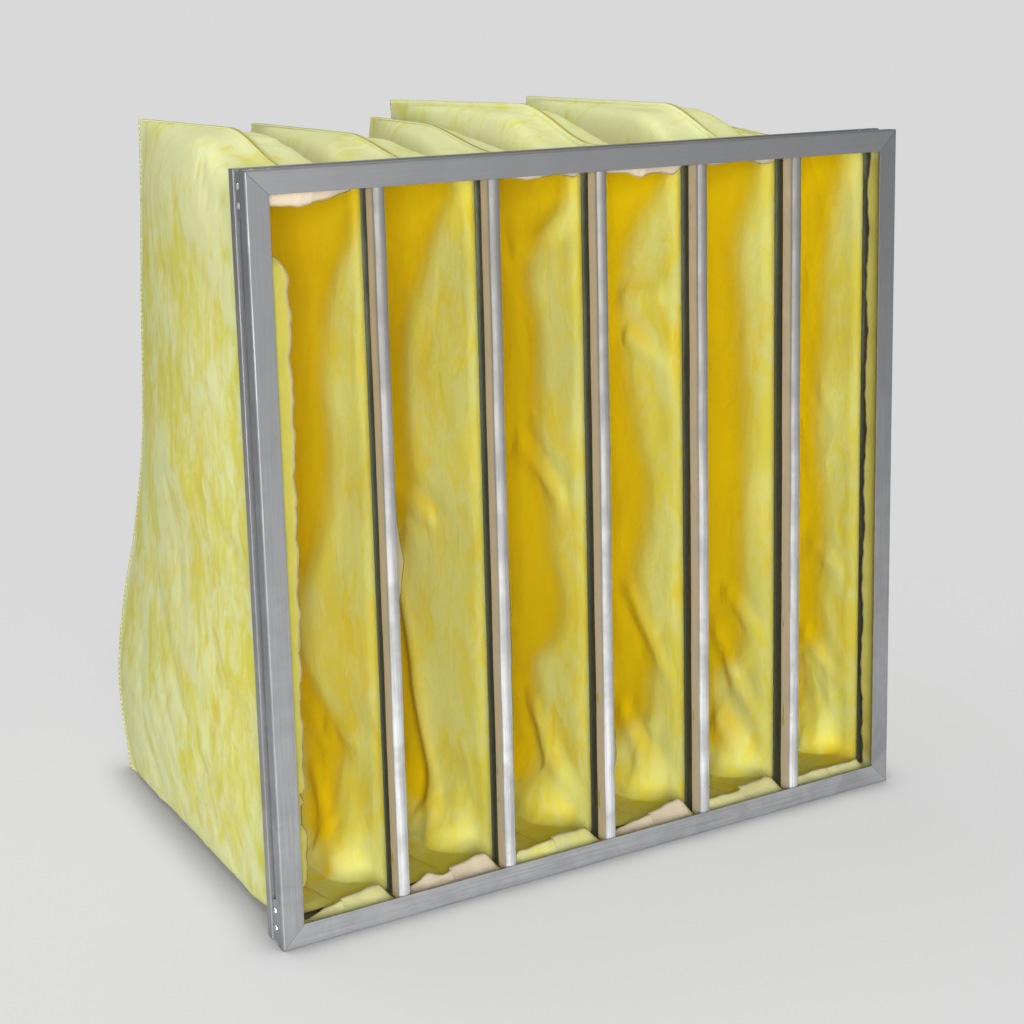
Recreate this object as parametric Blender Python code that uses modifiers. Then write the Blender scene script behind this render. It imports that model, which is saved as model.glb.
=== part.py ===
"""Bag air filter: a square metal header frame with six sewn pockets of fibre media.

The header faces -Y and the pockets run back along +Y. Z is up. The header stands on Z = 0, X = 0 is its middle, and
Y = 0 is half of the whole filter's depth. Every Y below is a depth behind the header's front face, and place() moves
the pieces forward by half of the filter's depth. Lengths are in millimetres, turned into metres by MM.
"""

import math

import bmesh
import bpy
import numpy as np

MM = 0.001
GAP = 0.3  # clearance between pieces that touch

# Header frame
HEADER_SIZE = 592.0
HEADER_DEPTH = 32.0
FACE_WIDTH = 18.0
REAR_LIP = 7.5
SHEET = 1.2
FOLD_RADIUS = 1.6
GROOVE_FRONT = 11.0
GROOVE_REAR = 23.0
GROOVE_DEEP = 4.0
GROOVE_RADIUS = 0.7
GROOVE_MIDDLE = (GROOVE_FRONT + GROOVE_REAR) / 2
HALF_HEADER = HEADER_SIZE / 2
FILTER_DEPTH = 468.4  # from the header's front face to the rearmost point of the pockets

# Corner brackets and their rivets
BRACKET_LEG = 35.0
BRACKET_THICK = 2.0
BRACKET_WIDE = GROOVE_REAR - GROOVE_FRONT - 2 * GAP
BRACKET_END_RADIUS = 4.6
RIVET_PLACES = (12.0, 26.0)
RIVET_HOLE = 1.8
SHANK_RADIUS = RIVET_HOLE - GAP
HEAD_RADIUS = 2.6
HEAD_HIGH = 1.2
TAIL_RADIUS = 2.3
TAIL_LONG = 2.2
ROUND_STEPS = 8

# Pocket mouths
POCKETS = 6
PITCH = 95.8
MOUTH_HALF_WIDE = PITCH / 2 - GAP / 2 - 0.1
MOUTH_HALF_HIGH = 287.4
MOUTH_RADIUS = 6.0
MOUTH_FRONT = 2.7
MOUTH_REAR = 33.0
CLAMPED_THICK = 1.0
FOLD_DEEP = 3.3

# Mouth rings
RING_INSET = CLAMPED_THICK + GAP
RING_THICK = 0.8
RING_FRONT = MOUTH_FRONT + CLAMPED_THICK + GAP
RING_REAR = 28.2
RING_HEM = 1.9

# Divider clips
CLIP_HALF_WIDE = 4.8
CLIP_SHEET = 0.8
CLIP_FRONT = 1.5
CLIP_REAR = 15.5
CLIP_TUCK = 4.5
CLIP_FLANGE_SHORT = 21.0
CLIP_EDGE_RADIUS = 1.6
CLIP_END_RADIUS = 6.0
CUT_PAST = 0.05

# Pocket media
MEDIA_THICK = 2.6
SEAM_HALF = MEDIA_THICK + GAP
SEAM_HIGH = 5.0
SEAM_FOOT = 1.6
FOOT_BASE = 2.0
FULLNESS = 1.9
TAPER = 0.8
TOP_SQUARE = 3.2  # how square the cross-section is at the top, and below at the foot
FOOT_SQUARE = 8.0
MOUTH_SQUARE = 14.0
BODY_DEPTHS = (0.05, 0.17, 0.36, 0.58, 0.8, 1.0)
SIDE_ROWS = 6
FOLD_AMPLITUDE = 4.5
OUTER_BULGE = 7.0
# Depth of the back seam against height, from the foot of the pocket to its top
BACK_SEAM = ((0.0, 400.0), (0.1, 450.0), (0.24, 453.0), (0.36, 428.0), (0.48, 410.0), (0.75, 400.0), (1.0, 375.0))

# What differs between the pockets, from the left: rise of the top above the mouth, depth where the rise begins and
# ends, sideways lean of the top and of the foot of the back seam, extra length, and phase of the folds
POCKET_FORMS = (
    dict(rise=27.5, begins=55.0, ends=172.0, lean_top=-7.0, lean_foot=-46.0, longer=0.0, phase=0.1),
    dict(rise=18.5, begins=36.0, ends=165.0, lean_top=5.0, lean_foot=-12.0, longer=4.0, phase=0.45),
    dict(rise=18.5, begins=85.0, ends=245.0, lean_top=30.0, lean_foot=-4.0, longer=4.0, phase=0.7),
    dict(rise=31.5, begins=86.0, ends=190.0, lean_top=-44.0, lean_foot=6.0, longer=6.0, phase=0.2),
    dict(rise=30.0, begins=27.0, ends=130.0, lean_top=8.0, lean_foot=10.0, longer=2.0, phase=0.9),
    dict(rise=18.0, begins=100.0, ends=290.0, lean_top=6.0, lean_foot=24.0, longer=5.0, phase=0.6),
)

METAL = dict(colour=(0.53, 0.54, 0.55, 1.0), metallic=0.9, roughness=0.42)
GALVANISED = dict(colour=(0.30, 0.31, 0.29, 1.0), metallic=0.9, roughness=0.5)
RIVET_METAL = dict(colour=(0.72, 0.73, 0.74, 1.0), metallic=0.95, roughness=0.3)
MEDIA = dict(colour=(0.82, 0.76, 0.25, 1.0), metallic=0.0, roughness=0.95)


def clear_scene():
    for thing in list(bpy.data.objects):
        bpy.data.objects.remove(thing, do_unlink=True)


def make_collection(name):
    collection = bpy.data.collections.new(name)
    bpy.context.scene.collection.children.link(collection)
    return collection


def make_material(name, colour, metallic, roughness):
    material = bpy.data.materials.new(name)
    material.use_nodes = True
    shader = material.node_tree.nodes["Principled BSDF"]
    shader.inputs["Base Color"].default_value = colour
    shader.inputs["Metallic"].default_value = metallic
    shader.inputs["Roughness"].default_value = roughness
    return material


def place(name, mesh, material, collection, location=(0.0, 0.0, 0.0), rotation=(0.0, 0.0, 0.0)):
    """Puts one named piece in the scene. Pieces that are alike share a mesh."""
    piece = bpy.data.objects.new(name, mesh)
    if not mesh.materials:
        mesh.materials.append(material)
    across, depth, height = location
    piece.location = (across * MM, (depth - FILTER_DEPTH / 2) * MM, height * MM)
    piece.rotation_euler = rotation
    collection.objects.link(piece)
    return piece


def baked(piece):
    """The piece's mesh with its modifiers applied. The piece itself is removed."""
    bpy.context.view_layer.update()
    graph = bpy.context.evaluated_depsgraph_get()
    mesh = bpy.data.meshes.new_from_object(piece.evaluated_get(graph))
    mesh.transform(piece.matrix_world)
    bpy.data.objects.remove(piece, do_unlink=True)
    return mesh


def faced_out(shape):
    """Turns the faces of one closed body outwards."""
    bmesh.ops.recalc_face_normals(shape, faces=shape.faces)
    if shape.calc_volume(signed=True) < 0:
        bmesh.ops.reverse_faces(shape, faces=shape.faces)


def weld(mesh):
    shape = bmesh.new()
    shape.from_mesh(mesh)
    bmesh.ops.remove_doubles(shape, verts=shape.verts, dist=0.01 * MM)
    faced_out(shape)
    shape.to_mesh(mesh)
    shape.free()
    return mesh


def rounded(corners, steps=3):
    """An outline of (x, y, radius) corners, with an arc of that radius in place of each corner."""
    outline = []
    for index, (x, y, radius) in enumerate(corners):
        corner = np.array((x, y))
        before = np.array(corners[index - 1][:2]) - corner
        after = np.array(corners[(index + 1) % len(corners)][:2]) - corner
        before /= np.linalg.norm(before)
        after /= np.linalg.norm(after)
        if radius <= 0:
            outline.append(tuple(corner))
            continue
        half_turn = math.acos(np.clip(before @ after, -1, 1)) / 2
        start = corner + before * radius / math.tan(half_turn)
        end = corner + after * radius / math.tan(half_turn)
        middle = corner + (before + after) / np.linalg.norm(before + after) * radius / math.sin(half_turn)
        sweep = math.pi - 2 * half_turn
        for step in range(steps + 1):
            share = step / steps
            way = math.sin((1 - share) * sweep) * (start - middle) + math.sin(share * sweep) * (end - middle)
            outline.append(tuple(middle + way / math.sin(sweep)))
    return outline


def extruded(outline, length):
    """A prism: a flat outline in X and Y, as a filled curve, extruded to the length along Z and centred on it."""
    curve = bpy.data.curves.new("outline", "CURVE")
    curve.dimensions = "2D"
    curve.fill_mode = "BOTH"
    curve.extrude = length / 2 * MM
    spline = curve.splines.new("POLY")
    spline.points.add(len(outline) - 1)
    for point, (x, y) in zip(spline.points, outline):
        point.co = (x * MM, y * MM, 0.0, 1.0)
    spline.use_cyclic_u = True
    holder = bpy.data.objects.new("outline", curve)
    bpy.context.scene.collection.objects.link(holder)
    return weld(baked(holder))


def cut_away(piece, cutter, cutters):
    """Cuts the cutter's shape out of the piece, and puts the cutter with the others."""
    cutter.name = "cutter"
    cutter.hide_render = True
    cutter.display_type = "WIRE"
    for holder in list(cutter.users_collection):
        holder.objects.unlink(cutter)
    cutters.objects.link(cutter)
    cut = piece.modifiers.new("cut", "BOOLEAN")
    cut.operation = "DIFFERENCE"
    cut.solver = "EXACT"
    cut.object = cutter


def drilled(mesh, holes, radius, depth, cutters):
    """Cuts round holes: each has a centre and an axis, "X" or "Z"."""
    piece = bpy.data.objects.new("drilled", mesh)
    bpy.context.scene.collection.objects.link(piece)
    turns = {"X": (0.0, math.pi / 2, 0.0), "Z": (0.0, 0.0, 0.0)}
    for centre, axis in holes:
        bpy.ops.mesh.primitive_cylinder_add(
            vertices=ROUND_STEPS,
            radius=radius * MM,
            depth=depth * MM,
            location=[value * MM for value in centre],
            rotation=turns[axis],
        )
        cut_away(piece, bpy.context.object, cutters)
    return weld(baked(piece))


def smooth(mesh, angle=35.0):
    mesh.shade_smooth()
    mesh.set_sharp_from_angle(angle=math.radians(angle))
    return mesh


def rail_mesh(cutters):
    """The left rail about the header's middle: a folded channel, open towards the pockets, with mitred ends."""
    inside = GROOVE_DEEP + SHEET
    section = [
        (FACE_WIDTH, 0.0, 0.3),
        (0.0, 0.0, FOLD_RADIUS),
        (0.0, GROOVE_FRONT, GROOVE_RADIUS),
        (GROOVE_DEEP, GROOVE_FRONT, 0.0),
        (GROOVE_DEEP, GROOVE_REAR, 0.0),
        (0.0, GROOVE_REAR, GROOVE_RADIUS),
        (0.0, HEADER_DEPTH, FOLD_RADIUS),
        (REAR_LIP, HEADER_DEPTH, 0.0),
        (REAR_LIP, HEADER_DEPTH - SHEET, 0.0),
        (SHEET, HEADER_DEPTH - SHEET, 0.0),
        (SHEET, GROOVE_REAR + SHEET, 0.0),
        (inside, GROOVE_REAR + SHEET, 0.0),
        (inside, GROOVE_FRONT - SHEET, 0.0),
        (SHEET, GROOVE_FRONT - SHEET, 0.0),
        (SHEET, SHEET, 0.0),
        (FACE_WIDTH, SHEET, 0.3),
    ]
    mesh = extruded(rounded(section), HEADER_SIZE)
    shape = bmesh.new()
    shape.from_mesh(mesh)
    for point in shape.verts:
        inward = point.co.x / MM
        end = HALF_HEADER - inward - GAP / 2
        point.co.z = math.copysign(end * MM, point.co.z)
        point.co.x = (inward - HALF_HEADER) * MM
    shape.to_mesh(mesh)
    shape.free()
    floor = GROOVE_DEEP + SHEET / 2 - HALF_HEADER
    holes = [
        ((floor, GROOVE_MIDDLE, way * (HALF_HEADER - place_)), "X") for way in (-1, 1) for place_ in RIVET_PLACES
    ]
    return smooth(drilled(mesh, holes, RIVET_HOLE, 3 * SHEET, cutters))


def bracket_mesh(cutters):
    """The bracket of the upper left corner, about the header's middle: a bent strip in the groove's floor."""
    inner = GROOVE_DEEP - GAP
    outer = inner - BRACKET_THICK
    bent = [
        (outer, outer, BRACKET_THICK),
        (outer, BRACKET_LEG, 0.0),
        (inner, BRACKET_LEG, 0.0),
        (inner, inner, 0.0),
        (BRACKET_LEG, inner, 0.0),
        (BRACKET_LEG, outer, 0.0),
    ]
    mesh = extruded(rounded(bent), BRACKET_WIDE)
    shape = bmesh.new()
    shape.from_mesh(mesh)
    ends = []
    for edge in shape.edges:
        first, second = (point.co / MM for point in edge.verts)
        across = abs(first.z - second.z) < GAP
        at_end = min(max(first.x, first.y), max(second.x, second.y)) > BRACKET_LEG - GAP
        if across and at_end:
            ends.append(edge)
    bmesh.ops.bevel(
        shape, geom=ends, offset=BRACKET_END_RADIUS * MM, segments=4, profile=0.5, affect="EDGES", clamp_overlap=False
    )
    # The strip was drawn flat: its first leg runs down the side, its second along the top
    for point in shape.verts:
        across, down, along = point.co.x, point.co.y, point.co.z
        point.co = (across - HALF_HEADER * MM, along + GROOVE_MIDDLE * MM, HALF_HEADER * MM - down)
    faced_out(shape)
    shape.to_mesh(mesh)
    shape.free()
    middle = (inner + outer) / 2 - HALF_HEADER
    holes = [((middle, GROOVE_MIDDLE, HALF_HEADER - place_), "X") for place_ in RIVET_PLACES]
    holes += [((place_ - HALF_HEADER, GROOVE_MIDDLE, -middle), "Z") for place_ in RIVET_PLACES]
    return smooth(drilled(mesh, holes, RIVET_HOLE, 3 * BRACKET_THICK, cutters))


def rivet_mesh():
    """A blind rivet about Z, its head's flat side at Z = 0: a profile down its outer side, turned about Z."""
    web = GROOVE_DEEP + SHEET - (GROOVE_DEEP - GAP - BRACKET_THICK - GAP) + GAP
    profile = [
        (0.0, HEAD_HIGH),
        (HEAD_RADIUS * 0.55, HEAD_HIGH * 0.84),
        (HEAD_RADIUS * 0.92, HEAD_HIGH * 0.4),
        (HEAD_RADIUS, 0.0),
        (SHANK_RADIUS, 0.0),
        (SHANK_RADIUS, -web),
        (TAIL_RADIUS, -web - 0.2),
        (TAIL_RADIUS * 0.8, -web - TAIL_LONG * 0.8),
        (0.0, -web - TAIL_LONG),
    ]
    mesh = bpy.data.meshes.new("rivet")
    mesh.from_pydata(
        [(x * MM, 0.0, z * MM) for x, z in profile], [(n, n + 1) for n in range(len(profile) - 1)], []
    )
    piece = bpy.data.objects.new("profile", mesh)
    bpy.context.scene.collection.objects.link(piece)
    turn = piece.modifiers.new("turned", "SCREW")
    turn.axis = "Z"
    turn.angle = math.tau
    turn.steps = turn.render_steps = ROUND_STEPS
    turn.use_merge_vertices = True
    turn.merge_threshold = 0.00001
    return smooth(weld(baked(piece)), 50.0)


def build_header(collection, cutters):
    """Four rails, four brackets and sixteen rivets, each turned about the header's middle into its place."""
    metal = make_material("header_metal", **METAL)
    bright = make_material("rivet_metal", **RIVET_METAL)
    middle = (0.0, 0.0, HALF_HEADER)
    rail = rail_mesh(cutters)
    bracket = bracket_mesh(cutters)
    rivet = rivet_mesh()
    sides = ("left", "top", "right", "bottom")
    corners = ("top_left", "top_right", "bottom_right", "bottom_left")
    seat = HALF_HEADER - (GROOVE_DEEP - GAP - BRACKET_THICK - GAP)
    for quarter, (side, corner) in enumerate(zip(sides, corners)):
        turn = (0.0, quarter * math.pi / 2, 0.0)
        place(f"header_rail_{side}", rail, metal, collection, middle, turn)
        place(f"corner_bracket_{corner}", bracket, metal, collection, middle, turn)
        # A rivet's head points out of the side that its leg lies on
        outward = quarter * math.pi / 2 - math.pi / 2
        for way, end in ((-1, "a"), (1, "b")):
            for number, from_end in enumerate(RIVET_PLACES, 1):
                along = way * (HALF_HEADER - from_end)
                spot = (
                    math.sin(outward) * seat + math.cos(outward) * along,
                    GROOVE_MIDDLE,
                    HALF_HEADER + math.cos(outward) * seat - math.sin(outward) * along,
                )
                name = f"rivet_{side}_{end}{number}"
                place(name, rivet, bright, collection, spot, (0.0, outward, 0.0))


def ring_mesh():
    """A strip frame with rounded corners: one loop of edges drawn back, and hemmed inwards at the rear."""
    half_wide = MOUTH_HALF_WIDE - RING_INSET
    half_high = MOUTH_HALF_HIGH - RING_INSET
    radius = MOUTH_RADIUS - RING_INSET
    shape = bmesh.new()
    bmesh.ops.create_grid(shape, x_segments=1, y_segments=1, size=1.0)
    for point in shape.verts:
        point.co = (point.co.x * half_wide * MM, RING_FRONT * MM, point.co.y * half_high * MM)
    bmesh.ops.bevel(
        shape, geom=shape.verts[:], offset=radius * MM, offset_type="OFFSET", segments=2, profile=0.5, affect="VERTICES"
    )
    bmesh.ops.delete(shape, geom=shape.faces[:], context="FACES_ONLY")

    def drawn(edges, rear, inward):
        made = bmesh.ops.extrude_edge_only(shape, edges=edges)["geom"]
        for point in (item for item in made if isinstance(item, bmesh.types.BMVert)):
            middle_x = math.copysign((half_wide - radius) * MM, point.co.x)
            middle_z = math.copysign((half_high - radius) * MM, point.co.z)
            share = 1 - inward / radius
            point.co = (
                middle_x + (point.co.x - middle_x) * share,
                rear * MM,
                middle_z + (point.co.z - middle_z) * share,
            )
        return [item for item in made if isinstance(item, bmesh.types.BMEdge)]

    rear_edges = drawn(shape.edges[:], RING_REAR, 0.0)
    drawn(rear_edges, RING_REAR + GAP, RING_HEM)
    for face in shape.faces:
        centre = face.calc_center_median()
        face.normal_update()
        if face.normal.x * centre.x + face.normal.z * centre.z < 0:
            face.normal_flip()
    mesh = bpy.data.meshes.new("mouth_ring")
    shape.to_mesh(mesh)
    shape.free()
    piece = bpy.data.objects.new("ring", mesh)
    bpy.context.scene.collection.objects.link(piece)
    shell = piece.modifiers.new("thickness", "SOLIDIFY")
    shell.thickness = RING_THICK * MM
    shell.offset = -1.0
    return smooth(baked(piece))


def clip_mesh(cutters):
    """A U-shaped strip along Z, open to the rear. Its web is longer than its flanges, which end in round corners."""
    inner = CLIP_HALF_WIDE - CLIP_SHEET
    section = [
        (-CLIP_HALF_WIDE, CLIP_FRONT, CLIP_EDGE_RADIUS),
        (CLIP_HALF_WIDE, CLIP_FRONT, CLIP_EDGE_RADIUS),
        (CLIP_HALF_WIDE, CLIP_REAR, 0.0),
        (inner, CLIP_REAR, 0.0),
        (inner, CLIP_FRONT + CLIP_SHEET, CLIP_SHEET),
        (-inner, CLIP_FRONT + CLIP_SHEET, CLIP_SHEET),
        (-inner, CLIP_REAR, 0.0),
        (-CLIP_HALF_WIDE, CLIP_REAR, 0.0),
    ]
    half_long = HALF_HEADER - FACE_WIDTH + CLIP_TUCK
    mesh = extruded(rounded(section), 2 * half_long)
    piece = bpy.data.objects.new("clip", mesh)
    bpy.context.scene.collection.objects.link(piece)
    flange_end = HALF_HEADER - CLIP_FLANGE_SHORT
    web_rear = CLIP_FRONT + CLIP_EDGE_RADIUS + GAP
    just_past = CLIP_REAR + CUT_PAST
    for way in (-1, 1):
        corner = [
            (web_rear, way * flange_end, 0.0),
            (just_past, way * flange_end, CLIP_END_RADIUS),
            (just_past, way * (flange_end - 2 * CLIP_END_RADIUS), 0.0),
            (2 * CLIP_REAR, way * (flange_end - 2 * CLIP_END_RADIUS), 0.0),
            (2 * CLIP_REAR, way * HALF_HEADER, 0.0),
            (web_rear, way * HALF_HEADER, 0.0),
        ]
        cutter = bpy.data.objects.new("cutter", extruded(rounded(corner, 5), 4 * CLIP_HALF_WIDE))
        cutter.rotation_euler = (math.pi / 2, 0.0, math.pi / 2)
        cut_away(piece, cutter, cutters)
    return smooth(weld(baked(piece)))


def curve_through(points, at):
    """A smooth curve through (position, value) points, read at one position."""
    places = np.array([point[0] for point in points])
    values = np.array([point[1] for point in points])
    slopes = np.gradient(values, places)
    index = int(np.clip(np.searchsorted(places, at) - 1, 0, len(places) - 2))
    width = places[index + 1] - places[index]
    t = float(np.clip((at - places[index]) / width, 0.0, 1.0))
    return (
        (2 * t**3 - 3 * t**2 + 1) * values[index]
        + (t**3 - 2 * t**2 + t) * width * slopes[index]
        + (3 * t**2 - 2 * t**3) * values[index + 1]
        + (t**3 - t**2) * width * slopes[index + 1]
    )


def ease(value):
    value = min(max(value, 0.0), 1.0)
    return value * value * (3 - 2 * value)


def mouth_outline(inset):
    """Half of the mouth's outline at that inset, from the upper seam round the side to the lower seam.
    Each point is its distance from the pocket's middle plane and its height from the mouth's middle."""
    wide = MOUTH_HALF_WIDE - inset
    high = MOUTH_HALF_HIGH - inset
    corner = MOUTH_RADIUS - min(inset, FOLD_DEEP)
    upper = [(1.0, high), (3.2, high), (MOUTH_HALF_WIDE / 2, high)]
    for angle in (90.0, 45.0, 0.0):
        turn = math.radians(angle)
        upper.append((wide - corner + corner * math.cos(turn), high - corner + corner * math.sin(turn)))
    last = upper[-1][1]
    side = [(wide, last * (1 - 2 * step / (SIDE_ROWS + 1))) for step in range(1, SIDE_ROWS + 1)]
    return upper + side + [(across, -height) for across, height in reversed(upper)]


def body_outline(share, count, fractions):
    """The pocket's cross-section at that share of its depth, as (width share, height share) points."""
    height = np.cos(np.linspace(0.0, math.pi, 400))
    power = np.where(height > 0, TOP_SQUARE, FOOT_SQUARE) + MOUTH_SQUARE * math.exp(-share / 0.25)
    wide = (1 - np.abs(height) ** power) ** (1 / power)
    half = MOUTH_HALF_WIDE * (1 - share**FULLNESS) ** TAPER if share < 1 else 0.0
    steps = np.hypot(np.diff(wide * half), np.diff(height * MOUTH_HALF_HIGH))
    run = np.concatenate(([0.0], np.cumsum(steps)))
    places = np.array(fractions[:count]) * run[-1]
    return np.interp(places, run, wide), np.interp(places, run, height), half


def panel_points(form, side, flap):
    """The panel's outer skin as rows of points, from the folded mouth edge back to the seam.
    side is -1 for the left panel and +1 for the right one, flap the depth of its raw edge inside the mouth."""
    rim = mouth_outline(0.0)
    rows = len(rim)
    runs = np.hypot(*np.diff(np.array(rim[1:-1]), axis=0).T)
    fractions = np.concatenate(([0.0], np.cumsum(runs))) / runs.sum()
    fractions = np.concatenate(([0.0], fractions, [1.0]))
    folded = mouth_outline(FOLD_DEEP)
    columns = []

    # The raw edge: it droops from the mouth's top, stands up from its bottom, and lies flat along its side
    edge = []
    for row, (across, height) in enumerate(folded):
        flat = abs(abs(height) - (MOUTH_HALF_HIGH - FOLD_DEEP)) < GAP
        free = ease((MOUTH_HALF_WIDE - across) / MOUTH_HALF_WIDE * 2) if flat else 0.0
        wander = 1.2 * math.sin(2.1 * row + 7 * form["phase"] + side)
        hang = 10.0 * free if height > 0 else 8.0 * free
        edge.append((across, height - math.copysign(hang, height), flap + wander - 6.0 * free))
    columns.append(edge)
    columns.append([(across, height, MOUTH_FRONT) for across, height in folded])
    columns.append([(across, height, MOUTH_FRONT) for across, height in rim])
    columns.append([(across, height, MOUTH_REAR) for across, height in rim])
    columns = [[(across, y, HALF_HEADER + height) for across, height, y in column] for column in columns]
    points = [[(side * across, y, z) for across, y, z in column] for column in columns]

    for share in BODY_DEPTHS + ("seam",):
        seam = share == "seam"
        depth = 1.0 if seam else share
        wide, high, half = body_outline(depth, rows, fractions)
        column = []
        for row in range(rows):
            level = (high[row] + 1) / 2
            back = curve_through(BACK_SEAM, level) + form["longer"]
            y = MOUTH_REAR + depth * (back - MOUTH_REAR) + (SEAM_HIGH if seam else 0.0)
            top = HALF_HEADER + MOUTH_HALF_HIGH
            top += form["rise"] * ease((y - form["begins"]) / (form["ends"] - form["begins"]))
            bottom = HALF_HEADER - MOUTH_HALF_HIGH
            bottom += (FOOT_BASE - bottom) * ease(depth / BODY_DEPTHS[1])
            z = bottom + (top - bottom) * level
            across = half * wide[row]
            across -= fold_depth(form, side, depth, level) * wide[row]
            across = max(across, SEAM_HALF)
            if row == 0:
                z += SEAM_HIGH
            if row == rows - 1:
                z -= SEAM_FOOT
            sway = depth**1.5 * (form["lean_top"] * level**2 + form["lean_foot"] * (1 - level) ** 2)
            column.append((side * across + sway, y, z))
        points.append(column)
    return points


def fold_depth(form, side, depth, level):
    """How far the panel is pressed in at that place. The two outermost panels bulge out instead."""
    swell = math.sin(math.pi * min(depth, 1.0)) ** 0.8 if 0 < depth < 1 else 0.0
    turn = form["phase"] + 0.13 * side
    wave = math.sin(math.tau * (2.6 * level + turn + 0.5 * depth)) + 0.5 * math.sin(math.tau * (5.1 * level - turn))
    pressed = FOLD_AMPLITUDE * (0.75 + 0.5 * wave) * swell
    outermost = (form is POCKET_FORMS[0] and side < 0) or (form is POCKET_FORMS[-1] and side > 0)
    return pressed - OUTER_BULGE * swell if outermost else pressed


def panel_mesh(form, side, flap):
    """One panel: a grid laid over the panel's points, then given its thickness inwards."""
    points = panel_points(form, side, flap)
    columns, rows = len(points), len(points[0])
    shape = bmesh.new()
    bmesh.ops.create_grid(shape, x_segments=columns - 1, y_segments=rows - 1, size=1.0)
    for point in shape.verts:
        column = round((point.co.x + 1) / 2 * (columns - 1))
        row = round((point.co.y + 1) / 2 * (rows - 1))
        point.co = [value * MM for value in points[column][row]]
    shape.normal_update()
    side_face = max(shape.faces, key=lambda face: face.calc_area())
    if side_face.normal.x * side < 0:
        bmesh.ops.reverse_faces(shape, faces=shape.faces)
    mesh = bpy.data.meshes.new("panel")
    shape.to_mesh(mesh)
    shape.free()
    piece = bpy.data.objects.new("panel", mesh)
    bpy.context.scene.collection.objects.link(piece)
    clamped = piece.vertex_groups.new(name="thickness")
    for point in mesh.vertices:
        weight = CLAMPED_THICK / MEDIA_THICK if point.co.y < (MOUTH_REAR + GAP) * MM else 1.0
        clamped.add([point.index], weight, "REPLACE")
    shell = piece.modifiers.new("thickness", "SOLIDIFY")
    shell.thickness = MEDIA_THICK * MM
    shell.offset = -1.0
    shell.vertex_group = "thickness"
    shell.thickness_vertex_group = 0.0
    return smooth(baked(piece), 60.0)


def build_pockets(collection, cutters):
    """Six pockets of two panels each, with a ring in each mouth and a clip between neighbouring mouths."""
    strip = make_material("galvanised_strip", **GALVANISED)
    clip_metal = make_material("clip_metal", **METAL)
    media = make_material("filter_media", **MEDIA)
    ring = ring_mesh()
    clip = clip_mesh(cutters)
    for number, form in enumerate(POCKET_FORMS, 1):
        centre = (number - (POCKETS + 1) / 2) * PITCH
        place(f"mouth_ring_{number}", ring, strip, collection, (centre, 0.0, HALF_HEADER))
        for side, word in ((-1, "left"), (1, "right")):
            flap = 18.0 if side < 0 else 12.5
            mesh = panel_mesh(form, side, flap)
            place(f"pocket_{number}_{word}_panel", mesh, media, collection, (centre, 0.0, 0.0))
        if number < POCKETS:
            place(f"divider_clip_{number}", clip, clip_metal, collection, (centre + PITCH / 2, 0.0, HALF_HEADER))


def main():
    clear_scene()
    collection = make_collection("bag_air_filter")
    cutters = make_collection("cutters")
    build_header(collection, cutters)
    build_pockets(collection, cutters)


main()
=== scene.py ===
import math

import bpy
import numpy as np
from mathutils import Matrix, Vector


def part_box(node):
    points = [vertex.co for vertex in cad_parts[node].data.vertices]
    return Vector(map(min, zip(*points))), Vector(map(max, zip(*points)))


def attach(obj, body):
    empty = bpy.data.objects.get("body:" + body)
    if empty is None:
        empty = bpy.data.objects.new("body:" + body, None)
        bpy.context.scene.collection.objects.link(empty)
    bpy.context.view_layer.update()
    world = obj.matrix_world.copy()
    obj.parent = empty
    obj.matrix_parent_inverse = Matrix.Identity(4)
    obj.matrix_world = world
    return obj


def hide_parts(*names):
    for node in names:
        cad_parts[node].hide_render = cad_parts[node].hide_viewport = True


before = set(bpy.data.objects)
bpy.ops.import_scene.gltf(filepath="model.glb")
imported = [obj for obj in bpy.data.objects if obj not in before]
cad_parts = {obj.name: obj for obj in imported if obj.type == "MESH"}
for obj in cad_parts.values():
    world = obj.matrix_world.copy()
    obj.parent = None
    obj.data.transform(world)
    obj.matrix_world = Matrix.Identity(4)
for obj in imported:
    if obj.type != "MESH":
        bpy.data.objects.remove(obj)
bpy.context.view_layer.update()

# Lengths are in millimetres and turned into metres by MM. X runs to the right, Z up, and a depth is a
# distance behind the header's front face, which lies at FRONT_Y.
MM = 0.001
FRONT_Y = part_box("header_rail_top")[0].y / MM

# Header and mouths, as in the part
HEADER_SIZE = 592.0
HALF_HEADER = HEADER_SIZE / 2
POCKETS = 6
PITCH = 95.8
MOUTH_HALF_WIDE = 47.65
MOUTH_HALF_HIGH = 287.4
MOUTH_RADIUS = 6.0
MOUTH_FRONT = 2.7
MOUTH_REAR = 33.0
FOLD_DEEP = 3.3

# Media. The seam's sizes are its half-width, how high it stands, and how far it hangs below the foot.
CLAMPED_THICK = 1.0
MEDIA_THICK = 2.2
THIN_HALF = 0.3  # half-width of the seam where it starts, just behind the mouth
SEAM_HALF = 2.25
SEAM_HIGH = 5.0
SEAM_FOOT = 1.6
FOOT_BASE = 2.0
MOUTH_FLOOR = HALF_HEADER - MOUTH_HALF_HIGH

# The pockets' form: how slowly and in what curve they narrow to the back, and how square their section is at
# the top, at the foot, and close behind the mouth
FULLNESS = 1.9
TAPER = 0.8
TOP_SQUARE = 3.2
FOOT_SQUARE = 8.0
MOUTH_SQUARE = 14.0
FOLD_AMPLITUDE = 4.5
OUTER_BULGE = 7.0
SETTLED = 0.17  # share of the depth behind which a pocket's foot lies on the floor

# How deep the back seam lies, against the height as a share of the pocket's
BACK_SEAM = (
    (0.0, 400.0), (0.1, 450.0), (0.24, 453.0), (0.36, 428.0), (0.48, 410.0), (0.75, 400.0), (1.0, 375.0),
)

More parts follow.
